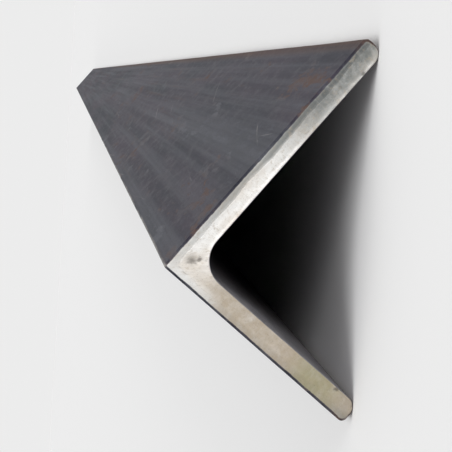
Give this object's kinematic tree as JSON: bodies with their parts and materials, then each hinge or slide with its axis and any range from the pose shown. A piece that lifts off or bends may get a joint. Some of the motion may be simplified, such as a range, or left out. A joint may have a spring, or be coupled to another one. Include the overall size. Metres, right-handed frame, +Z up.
{
  "type": "metal angle section",
  "caption": "Hot-rolled unequal steel angle in stock length, with a filleted root, rounded toes, square sheared ends and dark mill scale, lying heel up on its toes.",
  "frame": {"origin": "on the floor under the middle of the bar, at the centre of the bounding box's bottom", "axes": "+Y along the bar, away from the pictured end; +X towards the long leg's toe; +Z up towards the heel"},
  "size_m": [0.1264, 6, 0.0656],
  "materials": {
    "rolled_steel": "dark blue-grey mill scale on the rolled faces, with light rust; bare sheared ends, silver to tan"
  },
  "bodies": {
    "root": {"angle_section": "rolled_steel"}
  },
  "joints": []
}
